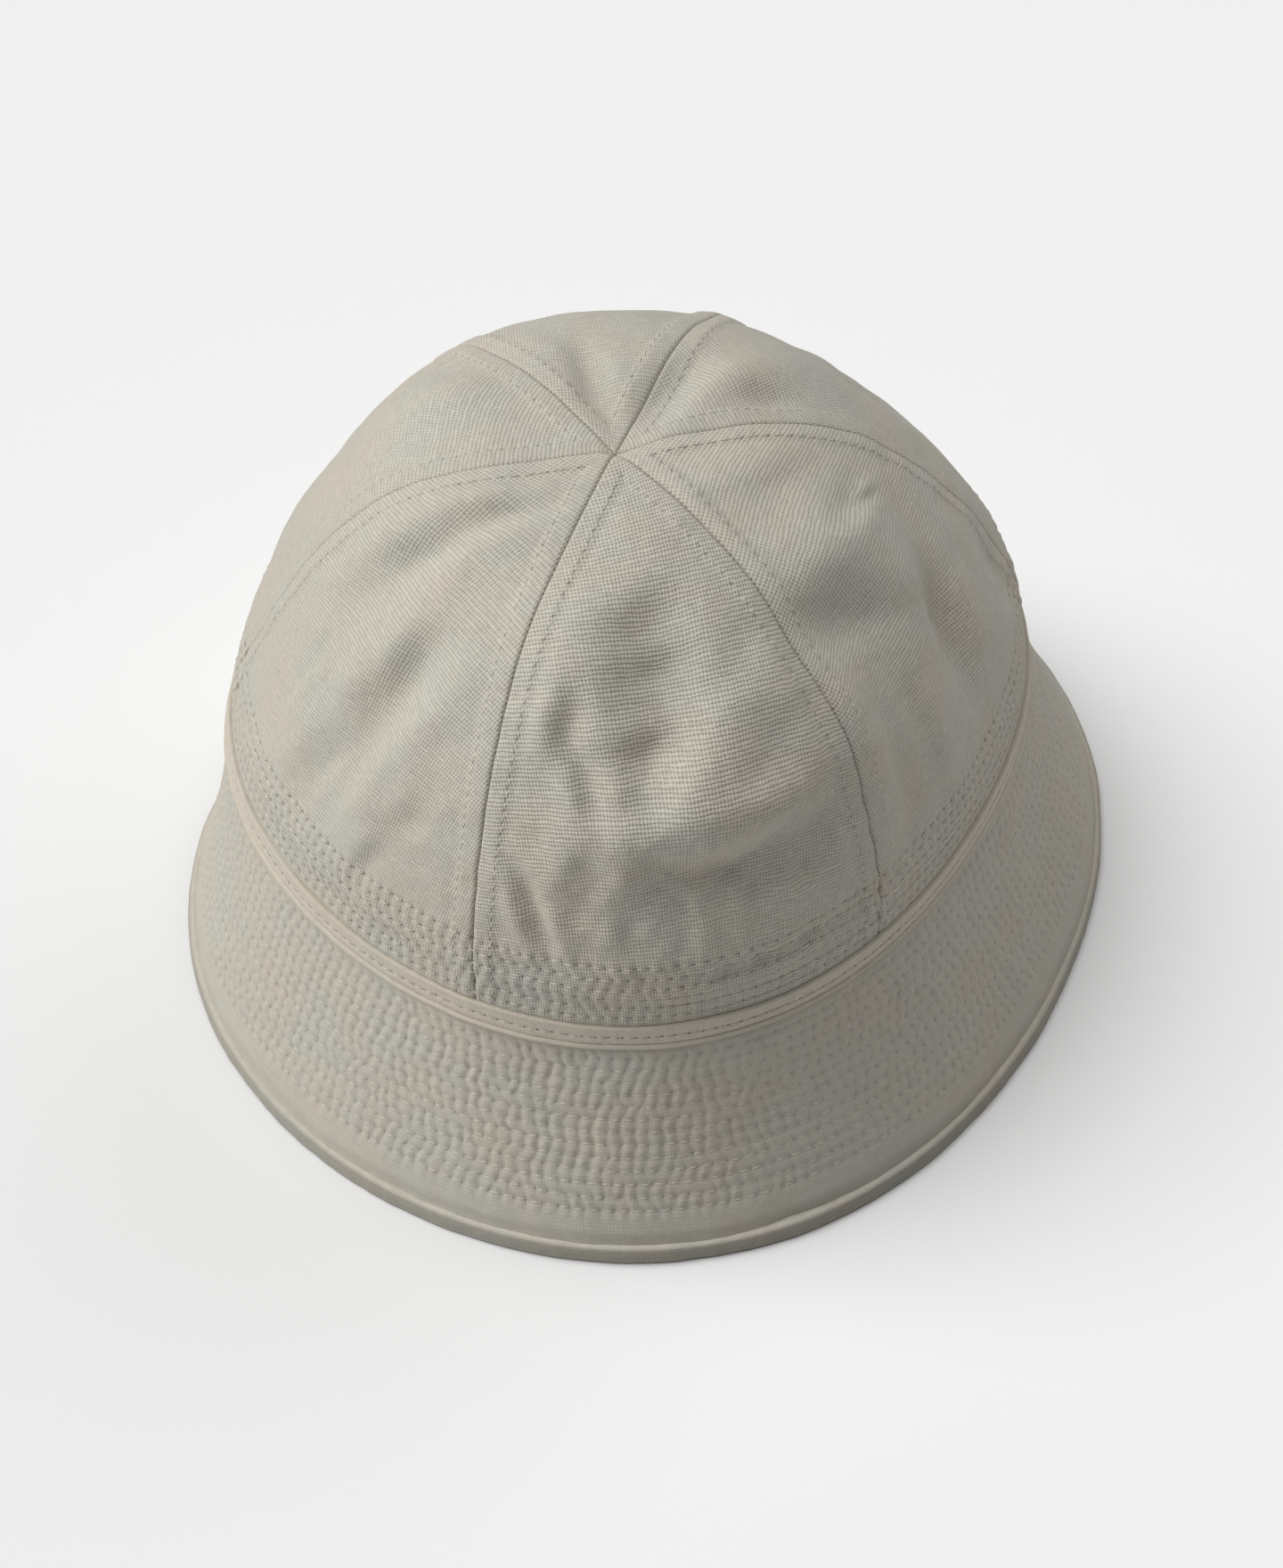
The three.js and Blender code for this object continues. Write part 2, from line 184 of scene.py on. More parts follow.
# x * exp(-x * x) peaks at 1 / 2.33, so this gives a slope the height that its row states
SLOPE_PEAK = 2.33
FOLDS_FROM = TAPE_HEIGHT - 0.5
FOLDS_FULL_FROM = TAPE_HEIGHT + 3.0

# Irregular waves on the cloth: height and wavelength in millimetres, and the seed of their directions
RIPPLE_WAVES = 14
RIPPLE_SPREAD = (0.7, 1.6)
CROWN_SOFT = ((0.34, 30, 3), (0.15, 13, 5))
CROWN_CRUMPLES = ((0.035, 5.5, 6),)
BRIM_SOFT = ((0.28, 42, 23), (0.09, 13, 29))
BRIM_CRUMPLES = ((0.035, 2.6, 39),)
EDGE_BUMPS = ((0.10, 17, 53), (0.04, 5, 59))
TAPE_SWAY = ((0.22, 26, 41),)
TAPE_BUMPS = ((0.06, 12, 43),)

# More small crumples low on the front: the fraction of the way up of their middle, and how far they
# reach up and down (as such a fraction) and to both sides (in radians)
LOWER_FRONT_CRUMPLES = ((0.32, 8, 9),)
LOWER_FRONT_UP = 0.2
LOWER_FRONT_REACH = 0.17
LOWER_FRONT_TURN = 0.5477226

# Sewing: sizes in millimetres, and places on the brim as fractions of the way down
SEAM_ROLL = 1.0
SEAM_OVERLAP = 0.05
ALLOWANCE_WIDTH = 5.2
ALLOWANCE_EDGE = 1.8
ALLOWANCE_HEIGHT = 0.55
SEAM_ROW = 4.7
SEAM_ROW_DEPTH = 0.20
SEAM_ROW_REACH = 2.4
SEAM_ROW_ENDS_BELOW_TIP = 9
SEAM_STITCH = 2.9
SEAM_PUCKER = 0.05
SEAM_BUMPS = (0.10, 9, 17)
ROW_GROOVE = 0.5

BRIM_STITCH = 3.25
BRIM_ROW_COUNT = 13
BRIM_FIRST_ROW = 0.068
BRIM_LAST_ROW = 0.833
BRIM_LENGTH = 56.0
BRIM_PUCKER = 0.25
BRIM_PUCKER_ROUND = (0.72, 0.14, -0.12, 0.20, -0.05)
# Waves that change the size of the brim's puckers and, in stitches, their places along the row
BRIM_UNEVEN = ((0.38, 7, 31),)
BRIM_UNEVEN_LIMITS = (0.25, 1.8)
BRIM_STITCH_WANDER = ((0.11, 5, 37),)
# The grooves of the brim's rows: how wide, how deep as a multiple of a pucker, and how much of a pucker
# they press flat
BRIM_ROW_REACH = 0.95
BRIM_ROW_DEPTH = 0.9
BRIM_ROW_FLATTENS = 0.8
# The brim bends in where it meets the rolled edge, and its wall runs a little past both ends
BRIM_FOOT_TUCK = 0.9
BRIM_FOOT_FROM = 0.93
BRIM_FOOT_TO = 0.995
BRIM_PAST_ENDS = 0.02

BAND_STITCH = 3.2
BAND_ROW_COUNT = 6
BAND_FIRST_ROW = 10.6
BAND_LAST_ROW = 29.1
BAND_ROW_DEPTH = 0.16
BAND_PUCKER = 0.26

TAPE_STITCH = 3.1
TAPE_ROW = 4.2
TAPE_ROW_REACH = 1.1
TAPE_ROW_DEPTH = 0.22
TAPE_PUCKER = 0.05
TAPE_SWAY_FROM = 1
TAPE_SWAY_FULL_FROM = 7
TAPE_LOWEST_RISE = 0.02

# The rolled edge: its section is squarer for a smaller power, and measures this much round
EDGE_POWER = 0.5
EDGE_ROUND = 17

# Sampling: steps round in radians and steps up as fractions, columns and rows of a mesh in millimetres,
# and plain counts
TURN_STEP = 0.01
UP_STEP = 0.004
UP_LIMIT = 0.9995
TIP = 0.99995
SHELL_STEP = 4
GORE_WIDTH = 105
FINE_COLUMN = 0.28
COARSE_COLUMN = 0.80
FINE_COLUMNS_REACH = 3.0
GORE_ROW_STEP = 0.72
BRIM_COLUMNS = 1152
BRIM_ROWS = 76
TAPE_COLUMNS = 1024
EDGE_COLUMNS = 960
EDGE_SIDES = 28
LENGTH_SAMPLES = 3000
RING_SAMPLES = 720
STITCH_SAMPLES = 20000
OUTLINE_SAMPLES = 72


def smooth(x, low, high):
    part = np.clip((x - low) / (high - low), 0, 1)
    return part * part * (3 - 2 * part)


def wrapped(turn):
    """A turn brought to within half a turn of zero."""
    return (turn + np.pi) % TURN - np.pi


def unit(vectors):
    return vectors / np.linalg.norm(vectors, axis=-1, keepdims=True)


def around(row, azimuth):
    """A quantity that varies round the cap."""
    mean, cos1, sin1, cos2, sin2 = row
    once = cos1 * np.cos(azimuth) + sin1 * np.sin(azimuth)
    return mean + once + cos2 * np.cos(2 * azimuth) + sin2 * np.sin(2 * azimuth)


def curve_point(curve, azimuth):
    radius = np.full_like(azimuth, curve["radius"])
    for per_turn, cos, sin in curve["waves"]:
        radius += curve["radius"] * (cos * np.cos(per_turn * azimuth) + sin * np.sin(per_turn * azimuth))
    x = radius * np.sin(azimuth)
    y = -radius * np.cos(azimuth)
    z = curve["height"] + curve["slope"][0] * x + curve["slope"][1] * y
    return np.stack([x + curve["centre"][0], y + curve["centre"][1], z], -1)


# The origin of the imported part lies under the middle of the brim's outline
outline = curve_point(BRIM_OUTLINE, TURN * np.arange(OUTLINE_SAMPLES) / OUTLINE_SAMPLES)
SHIFT = -np.append((outline[:, :2].min(0) + outline[:, :2].max(0)) / 2, 0)


def outwards(curve, azimuth):
    """The level direction that points straight out of a closed curve."""
    along = curve_point(curve, azimuth + TURN_STEP) - curve_point(curve, azimuth - TURN_STEP)
    return unit(np.stack([along[..., 1], -along[..., 0], np.zeros_like(azimuth)], -1))


def plain_crown(azimuth, up):
    """The crown without folds: up runs from 0 at the crown seam to 1 at the apex."""
    foot = curve_point(CROWN_SEAM, azimuth)
    turn = up * np.pi / 2
    belly = 1 + around(BULGE, azimuth) * np.sin(np.pi * up)
    spread = (np.cos(turn) ** around(SHOULDER, azimuth) * belly)[..., None]
    lift = np.sin(turn) ** around(RISE, azimuth)
    level = APEX[:2] + (foot[..., :2] - APEX[:2]) * spread
    z = foot[..., 2] + (APEX[2] - foot[..., 2]) * lift
    return np.concatenate([level, z[..., None]], -1)


def plain_brim(azimuth, down):
    """The brim without puckers: down runs from 0 under the tape to 1 at the rolled edge."""
    top = curve_point(CROWN_SEAM, azimuth) - BRIM_TOP_INSET * outwards(CROWN_SEAM, azimuth)
    out = outwards(BRIM_OUTLINE, azimuth)
    foot = curve_point(BRIM_OUTLINE, azimuth) - BRIM_FOOT_INSET * out
    foot[..., 2] = ROLL_MIDDLE + ROLL_HALF_HEIGHT + GAP
    part = down[..., None]
    return top * (1 - part) + foot * part - BRIM_BOW * np.sin(np.pi * part) * out


def normal_of(surface, azimuth, up):
    low = np.maximum(up - UP_STEP, 1 - UP_LIMIT)
    high = np.minimum(up + UP_STEP, UP_LIMIT)
    sideways = surface(azimuth + TURN_STEP, up) - surface(azimuth - TURN_STEP, up)
    return unit(np.cross(sideways, surface(azimuth, high) - surface(azimuth, low)))


def up_at_rise(azimuth, rise):
    whole = APEX[2] - curve_point(CROWN_SEAM, azimuth)[..., 2]
    return np.arcsin((rise / whole) ** (1 / around(RISE, azimuth))) * 2 / np.pi


def per_radian(surface, azimuth, up):
    """How many millimetres one radian is at a place on a surface."""
    step = surface(azimuth + TURN_STEP, up) - surface(azimuth - TURN_STEP, up)
    return np.linalg.norm(step, axis=-1) / (2 * TURN_STEP)


def ripple(points, wavelength, seed):
    """Smooth irregular waves in space, about -1 to 1, the same each run."""
    rng = np.random.default_rng(seed)
    total = np.zeros(points.shape[:-1])
    for _ in range(RIPPLE_WAVES):
        direction = unit(rng.normal(size=3))
        length = wavelength * rng.uniform(*RIPPLE_SPREAD)
        total += np.sin(points @ direction * TURN / length + rng.uniform(0, TURN))
    return total / np.sqrt(RIPPLE_WAVES)


def relief(points, rows):
    return sum(height * ripple(points, wavelength, seed) for height, wavelength, seed in rows)


class StitchedRows:
    """Rows of stitches round the cap, and where the cloth puckers between them.

    A phase counts stitches: whole numbers are the middles of stitches, halves are needle holes."""

    ZIGZAG = 0.38
    SCATTER = 0.10
    DRIFTS = ((3, 0.16), (8, 0.10), (19, 0.06), (43, 0.05))
    LEAN = 0.05
    LEAN_SWING = 0.12
    LEAN_WAVES = 5
    BREAK_FROM = 0.42
    BREAK_AT = 0.5
    FADE_FROM = 0.1
    FADE_TO = 0.9

    def __init__(self, places, lengths, stitch, seed):
        rng = np.random.default_rng(seed)
        self.places = places
        self.counts = np.round(lengths / stitch)
        signs = (-1.0) ** np.arange(len(places))
        self.shifts = self.ZIGZAG / 2 * signs + rng.normal(0, self.SCATTER, len(places))
        self.starts = rng.uniform(0, TURN, (len(self.DRIFTS) + 1, len(places)))

    def phase(self, row, azimuth):
        phase = self.counts[row] * azimuth / TURN + self.shifts[row]
        for (per_turn, size), start in zip(self.DRIFTS, self.starts):
            phase = phase + size * np.sin(per_turn * azimuth + start[row])
        return phase

    def row_at(self, place):
        """The row at a place, with fractions between the rows and beyond the first and last."""
        gap = self.places[1] - self.places[0]
        return (place - self.places[0]) / gap

    def between(self, azimuth, place):
        """The row, the phase and how strongly the cloth puckers."""
        row = self.row_at(place)
        low = np.clip(np.floor(row), 0, len(self.places) - 2).astype(int)
        part = np.clip(row - low, 0, 1)
        here = self.phase(low, azimuth)
        swing = np.sin(self.LEAN_WAVES * azimuth + self.starts[-1][low])
        lean = self.LEAN + self.LEAN_SWING * swing
        turn = self.phase(low + 1, azimuth) - here - lean
        slant = turn - np.round(turn)
        phase = here + (slant + lean) * (0.5 * part + 0.5 * smooth(part, 0, 1))
        broken = smooth(np.abs(slant), self.BREAK_FROM, self.BREAK_AT)
        strength = 1 - broken * 4 * part * (1 - part)
        beyond = np.maximum(-row, row - (len(self.places) - 1))
        return row, phase, strength * (1 - smooth(beyond, self.FADE_FROM, self.FADE_TO))

    def azimuths(self, row):
        """The azimuths of the middles of a row's stitches."""
        dense = np.linspace(-np.pi, np.pi, STITCH_SAMPLES + 1)
        phase = self.phase(row, dense)
        return np.interp(np.arange(np.ceil(phase[0]), phase[-1]), phase, dense)


def row_layers(name, phase, row):
    """A phase as a direction, so that it can be drawn across a jump by whole stitches, and the row."""
    return {
        name + "_turn": np.stack([np.cos(TURN * phase), np.sin(TURN * phase)], -1),
        name: np.stack([row, np.zeros_like(row)], -1),
    }


# The ridges of a pucker: how high, how round in the valleys, and the level taken off so that the
# cloth stays where it is on the whole
PUCKER_GAIN = 1.9
PUCKER_ROUNDING = 0.03
PUCKER_MEAN = 0.66


def pucker(phase):
    """Rounded ridges at whole phases with narrow valleys between them."""
    return PUCKER_GAIN * (np.sqrt(np.cos(np.pi * phase) ** 2 + PUCKER_ROUNDING) - PUCKER_MEAN)


def near_row(row, spacing, count, reach):
    """1 on a row of stitches and less away from it."""
    nearest = np.clip(np.round(row), 0, count - 1)
    off = (row - nearest) * spacing / reach
    return np.exp(-off * off)


def ring_length(surface, place):
    azimuth = np.linspace(0, TURN, RING_SAMPLES + 1)
    points = surface(azimuth, np.full_like(azimuth, place))
    return np.linalg.norm(np.diff(points, axis=0), axis=-1).sum()


brim_places = np.linspace(BRIM_FIRST_ROW, BRIM_LAST_ROW, BRIM_ROW_COUNT)
brim_gap = (brim_places[1] - brim_places[0]) * BRIM_LENGTH
brim_lengths = np.array([ring_length(plain_brim, place) for place in brim_places])
brim_rows = StitchedRows(brim_places, brim_lengths, BRIM_STITCH, seed=7)
band_places = np.linspace(BAND_FIRST_ROW, BAND_LAST_ROW, BAND_ROW_COUNT)
band_gap = band_places[1] - band_places[0]
seam_length = ring_length(plain_crown, 0.0)
band_rows = StitchedRows(band_places, np.full(BAND_ROW_COUNT, seam_length), BAND_STITCH, seed=11)
tape_rows = StitchedRows(np.array([TAPE_ROW, TAPE_ROW + 1]), np.full(2, seam_length), TAPE_STITCH, seed=13)


# The crown

def seam_azimuth(index, up):
    """A seam's azimuth on the way up: a parabola through its three stated azimuths."""
    _, low, middle, high, _ = GORES[index % len(GORES)]
    turns = index // len(GORES) * TURN
    parts = low * (1 - up) * (1 - 2 * up) + middle * 4 * up * (1 - up) + high * up * (2 * up - 1)
    return np.radians(parts) + turns


def middle_azimuth(index):
    """The azimuth of a gore's middle line halfway up."""
    halfway = np.array(0.5)
    return float(seam_azimuth(index, halfway) + seam_azimuth(index + 1, halfway)) / 2


def fold_height(azimuth, up):
    here = plain_crown(azimuth, up)
    reach = np.hypot(here[..., 0] - APEX[0], here[..., 1] - APEX[1])
    height = np.zeros_like(up)
    for fold_azimuth, fold_up, width, length, lean, ridge, slope in FOLDS:
        turn = azimuth - np.radians(fold_azimuth)
        side = reach * wrapped(turn)
        rise = (up - fold_up) * GORE_LENGTH
        cos, sin = np.cos(np.radians(lean)), np.sin(np.radians(lean))
        across = (side * cos - rise * sin) / width
        along = (side * sin + rise * cos) / length
        height += (ridge + slope * SLOPE_PEAK * across) * np.exp(-across * across - along * along)
    return height


def band_inset(rise):
    band = BAND_INSET * (1 - smooth(rise, BAND_HEIGHT - BAND_STEP, BAND_HEIGHT))
    under_tape = 1 - smooth(rise, TAPE_HEIGHT - TUCK, TAPE_HEIGHT)
    return band + (UNDER_TAPE_INSET - BAND_INSET) * under_tape


def length_up(azimuth):
    """A table of the distance from the crown seam to each height along one azimuth."""
    ups = np.linspace(0, 1, LENGTH_SAMPLES) ** 2 * TIP
    points = plain_crown(np.full_like(ups, azimuth), ups)
    steps = np.linalg.norm(np.diff(points, axis=0), axis=-1)
    return ups, np.concatenate([[0], np.cumsum(steps)])


def flat_cloth(turn, along, length):
    """Where a place on a gore lies on the flat cloth, from its turn off the gore's middle line.

    The threads run straight across the gore, so they follow great circles and not level lines."""
    radius = length / (np.pi / 2)
    height = along / radius
    across = np.arcsin(np.clip(np.cos(height) * np.sin(turn), -1, 1))
    return radius * np.stack([across, np.arctan2(np.sin(height), np.cos(height) * np.cos(turn))], -1)


def gore_surface(index, azimuth, up):
    """A gore's outside with all its relief, and the coordinates that its cloth and stitches follow."""
    plain = plain_crown(azimuth, up)
    normal = normal_of(plain_crown, azimuth, up)
    start = seam_azimuth(index, up)
    end = seam_azimuth(index + 1, up)
    scale = per_radian(plain_crown, azimuth, up)
    across = np.clip((azimuth - start) / (end - start), 0, 1)
    to_start = (azimuth - start) * scale
    to_end = (end - azimuth) * scale
    edge = np.maximum(np.minimum(to_start, to_end), 0)
    rise = plain[..., 2] - curve_point(CROWN_SEAM, azimuth)[..., 2]
    over_tape = smooth(rise, TAPE_HEIGHT, TAPE_HEIGHT + TAPE_STEP)
    over_band = smooth(rise, TAPE_HEIGHT, BAND_HEIGHT + TAPE_STEP)
    below_tip = 1 - smooth(up, SMOOTH_TIP_FROM, 1)
    ups, lengths = length_up(middle_azimuth(index))
    along = np.interp(up, ups, lengths)

    form = GORE_PUFF * np.sin(np.pi * across) * over_band * below_tip
    form += fold_height(azimuth, up) * smooth(rise, FOLDS_FROM, FOLDS_FULL_FROM) - band_inset(rise)
    from_front = wrapped(azimuth) / LOWER_FRONT_TURN
    from_low = (up - LOWER_FRONT_UP) / LOWER_FRONT_REACH
    lower_front = np.exp(-from_front * from_front - from_low * from_low)
    form += over_band * (relief(plain, CROWN_SOFT) + lower_front * relief(plain, LOWER_FRONT_CRUMPLES))

    roll = 1 - np.clip(edge / SEAM_ROLL, 0, 1)
    edge_from, edge_to = ALLOWANCE_WIDTH - ALLOWANCE_EDGE / 2, ALLOWANCE_WIDTH + ALLOWANCE_EDGE / 2
    fine = ALLOWANCE_HEIGHT * (1 - smooth(edge, edge_from, edge_to)) * over_tape
    depth = np.where(to_start < to_end, GORES[index][-1], GORES[(index + 1) % len(GORES)][-1])
    fine -= depth * (1 - np.sqrt(1 - roll * roll))
    seam_phase = along / SEAM_STITCH
    on_row = np.exp(-((edge - SEAM_ROW) / ROW_GROOVE) ** 2)
    beside_row = np.exp(-((edge - SEAM_ROW) / SEAM_ROW_REACH) ** 2)
    height, wavelength, seed = SEAM_BUMPS
    bumps = height * ripple(plain, wavelength, seed + index)
    fine += over_tape * (beside_row * (SEAM_PUCKER * pucker(seam_phase) + bumps) - SEAM_ROW_DEPTH * on_row)

    row, phase, strength = band_rows.between(azimuth, rise)
    fine += BAND_PUCKER * strength * pucker(phase)
    fine -= BAND_ROW_DEPTH * near_row(row, band_gap, BAND_ROW_COUNT, ROW_GROOVE)
    fine += over_tape * relief(plain, CROWN_CRUMPLES)
    points = plain + normal * (form + fine)[..., None]
    uvs = {
        "cloth": flat_cloth(azimuth - (start + end) / 2, along, lengths[-1]),
        **row_layers("rows", phase, np.clip(row, -0.5, BAND_ROW_COUNT - 0.5)),
        **row_layers("seams", seam_phase, edge),
    }
    return points, normal, form, uvs


def crowded(width, fine, coarse, reach):
    """Fractions from 0 to 1 across a width, with finer steps near both ends."""
    places = [0.0]
    while places[-1] < width / 2:
        places.append(places[-1] + fine + (coarse - fine) * min(places[-1] / reach, 1))
    half = np.array(places) / places[-1] / 2
    return np.concatenate([half, 1 - half[-2::-1]])


def to_multiple(fractions, step):
    """The same fractions resampled so that their spans are a multiple of step."""
    spans = (len(fractions) - 1) // step * step
    return np.interp(np.linspace(0, 1, spans + 1), np.linspace(0, 1, len(fractions)), fractions)


def gore(index):
    name = GORES[index][0]
    ups, lengths = length_up(middle_azimuth(index))
    columns = crowded(GORE_WIDTH, FINE_COLUMN, COARSE_COLUMN, FINE_COLUMNS_REACH)
    columns = to_multiple(columns, SHELL_STEP)
    rows = np.arange(0, lengths[-1], GORE_ROW_STEP)
    rows = to_multiple(rows / rows[-1], SHELL_STEP) * lengths[-1]
    up = np.interp(rows, lengths, ups)[:, None] + np.zeros_like(columns)
    start = seam_azimuth(index, up)
    end = seam_azimuth(index + 1, up)
    azimuth = start + (end - start) * columns[None, :]
    points, normal, form, uvs = gore_surface(index, azimuth, up)
    sides = SEAM_OVERLAP / per_radian(plain_crown, azimuth, up)
    sideways = plain_crown(azimuth + sides, up) - plain_crown(azimuth, up)
    inside = plain_crown(azimuth, up) + normal * (form - CROWN_WALL)[..., None]
    for side in (points, inside):
        side[:, 0] -= sideways[:, 0]
        side[:, -1] += sideways[:, -1]
    return shell(name + "_cloth", points, inside, uvs, False)


# Meshes

WELD_DISTANCE = 0.001 * MM


def to_metres(points):
    return (points + SHIFT) * MM


def bridge(fine, coarse):
    """Triangles between a fine line of points and a coarse one that has every SHELL_STEP-th of them."""
    faces = []
    for span in range(len(coarse) - 1):
        first = span * SHELL_STEP
        middle = first + SHELL_STEP // 2
        for place in range(first, first + SHELL_STEP):
            corner = coarse[span] if place < middle else coarse[span + 1]
            faces.append((fine[place], fine[place + 1], corner))
        faces.append((fine[middle], coarse[span + 1], coarse[span]))
    return faces


def grid_faces(numbers):
    corners = [numbers[:-1, :-1], numbers[:-1, 1:], numbers[1:, 1:], numbers[1:, :-1]]
    return np.stack(corners, -1).reshape(-1, 4)


def shell(name, outer, inner, uvs, wraps):
    """A closed wall: a fine outside, an inside with every SHELL_STEP-th point, and its edges."""
    inner = inner[::SHELL_STEP, ::SHELL_STEP]
    outside = np.arange(outer.shape[0] * outer.shape[1]).reshape(outer.shape[:2])
    inside = outside.size + np.arange(inner.shape[0] * inner.shape[1]).reshape(inner.shape[:2])
    faces = grid_faces(outside).tolist() + grid_faces(inside)[:, ::-1].tolist()
    faces += bridge(outside[0, ::-1], inside[0, ::-1])
    faces += bridge(outside[-1], inside[-1])
    if not wraps:
        faces += bridge(outside[:, 0], inside[:, 0])
        faces += bridge(outside[::-1, -1], inside[::-1, -1])
    points = np.concatenate([outer.reshape(-1, 3), inner.reshape(-1, 3)])
    corners = {}
    for layer, values in uvs.items():
        sparse = values[::SHELL_STEP, ::SHELL_STEP]
        corners[layer] = np.concatenate([values.reshape(-1, 2), sparse.reshape(-1, 2)])
    return mesh_object(name, points, faces, corners)


def mesh_object(name, points, faces, uvs):
    mesh = bpy.data.meshes.new(name)
    mesh.from_pydata(to_metres(points).tolist(), [], faces)
    numbers = np.empty(len(mesh.loops), dtype=np.int32)
    mesh.loops.foreach_get("vertex_index", numbers)
    for layer, values in uvs.items():
        uv_layer = mesh.uv_layers.new(name=layer)
        uv_layer.data.foreach_set("uv", values[numbers].astype(np.float32).ravel())
    weld(mesh)
    mesh.polygons.foreach_set("use_smooth", np.ones(len(mesh.polygons), dtype=bool))
    piece = bpy.data.objects.new(name, mesh)
    bpy.context.scene.collection.objects.link(piece)
    return piece


def weld(mesh):
    """Joins the points that lie on each other, such as where a ring closes."""
    work = bmesh.new()
    work.from_mesh(mesh)
    bmesh.ops.remove_doubles(work, verts=work.verts, dist=WELD_DISTANCE)
    work.to_mesh(mesh)
    work.free()


# The brim, the tape and the rolled edge

def brim_surface(azimuth, down):
    plain = plain_brim(azimuth, down)
    normal = -normal_of_brim(azimuth, down)
    row, phase, strength = brim_rows.between(azimuth, down)
    form = relief(plain, BRIM_SOFT) - BRIM_FOOT_TUCK * smooth(down, BRIM_FOOT_FROM, BRIM_FOOT_TO)
    pinched = near_row(row, brim_gap, BRIM_ROW_COUNT, BRIM_ROW_REACH)
    uneven = np.clip(1 + relief(plain, BRIM_UNEVEN), *BRIM_UNEVEN_LIMITS)
    size = BRIM_PUCKER * around(BRIM_PUCKER_ROUND, azimuth) * strength * uneven
    phase = phase + relief(plain, BRIM_STITCH_WANDER)
    fine = size * pucker(phase) * (1 - BRIM_ROW_FLATTENS * pinched)
    fine -= BRIM_ROW_DEPTH * BRIM_PUCKER * pinched * uneven
    fine += relief(plain, BRIM_CRUMPLES) * (1 - smooth(row, BRIM_ROW_COUNT - 1, BRIM_ROW_COUNT))
    points = plain + normal * (form + fine)[..., None]
    whole_turn = np.round(ring_length(plain_brim, 0.5))
    uvs = {
        "cloth": np.stack([azimuth / TURN * whole_turn, -down * BRIM_LENGTH], -1),
        **row_layers("rows", phase, np.clip(row, -0.5, BRIM_ROW_COUNT - 0.5)),
    }
    return points, normal, form, uvs


def normal_of_brim(azimuth, down):
    sideways = plain_brim(azimuth + TURN_STEP, down) - plain_brim(azimuth - TURN_STEP, down)
    downwards = plain_brim(azimuth, down + UP_STEP) - plain_brim(azimuth, down - UP_STEP)
    return unit(np.cross(sideways, downwards))


def brim():
    columns = np.linspace(-np.pi, np.pi, BRIM_COLUMNS + 1)
    rows = np.linspace(1 + BRIM_PAST_ENDS, -BRIM_PAST_ENDS, BRIM_ROWS + 1)
    azimuth, down = np.meshgrid(columns, rows)
    points, normal, form, uvs = brim_surface(azimuth, down)
    inside = plain_brim(azimuth, down) + normal * (form - BRIM_WALL)[..., None]
    return shell("brim_cloth", points, inside, uvs, True)


# The tape's section: rise over the crown seam, and distance off the plain crown
TAPE_SECTION = (
    (0.0, -1.5), (0.0, -0.6), (0.05, -0.1), (0.25, 0.25), (0.6, 0.46), (0.95, 0.42), (1.25, 0.2),
    (1.45, -0.15), (1.6, -0.34), (1.8, -0.2), (2.1, -0.04), (2.8, 0.0), (3.5, -0.03), (3.9, -0.14),
    (4.2, -0.24), (4.5, -0.14), (4.9, -0.03), (5.7, 0.0), (6.4, -0.02), (6.9, 0.04), (7.3, 0.1),
    (7.6, 0.04), (7.7, -0.2), (7.7, -0.7), (7.7, -1.5),
)


def closed(sections):
    """The same sections, each with its first place again at its end."""
    return np.concatenate([sections, sections[:, :1]], 1)


def ring(name, sections, uvs):
    """A closed ring from one closed section at each azimuth."""
    points = closed(sections)
    numbers = np.arange(points.shape[0] * points.shape[1]).reshape(points.shape[:2])
    faces = grid_faces(numbers.T)
    corners = {layer: values.reshape(-1, 2) for layer, values in uvs.items()}
    return mesh_object(name, points.reshape(-1, 3), faces.tolist(), corners)


def tape():
    columns = np.linspace(-np.pi, np.pi, TAPE_COLUMNS + 1)
    rises, offs = np.array(TAPE_SECTION).T
    azimuth, plain_rise = np.meshgrid(columns, rises, indexing="ij")
    phase = tape_rows.phase(np.zeros_like(azimuth, dtype=int), azimuth)
    place = plain_crown(azimuth, up_at_rise(azimuth, np.maximum(plain_rise, TAPE_LOWEST_RISE)))
    sway = relief(place, TAPE_SWAY) * smooth(plain_rise, TAPE_SWAY_FROM, TAPE_SWAY_FULL_FROM)
    rise = plain_rise + sway
    up = up_at_rise(azimuth, np.maximum(rise, 0))
    normal = normal_of(plain_crown, azimuth, up)
    normal[up == 0, 2] = 0
    normal = unit(normal)
    on_row = np.exp(-((rise - TAPE_ROW) / TAPE_ROW_REACH) ** 2)
    off = offs + TAPE_PUCKER * pucker(phase) * on_row + relief(place, TAPE_BUMPS)
    points = plain_crown(azimuth, up) + normal * off[..., None]
    uvs = {
        "cloth": closed(np.stack([azimuth / TURN * np.round(seam_length), plain_rise], -1)),
        **row_layers("rows", closed(phase), closed(rise) - TAPE_ROW),
    }
    return ring("seam_tape_cloth", points, uvs)


def squarer(part):
    return np.sign(part) * np.abs(part) ** EDGE_POWER


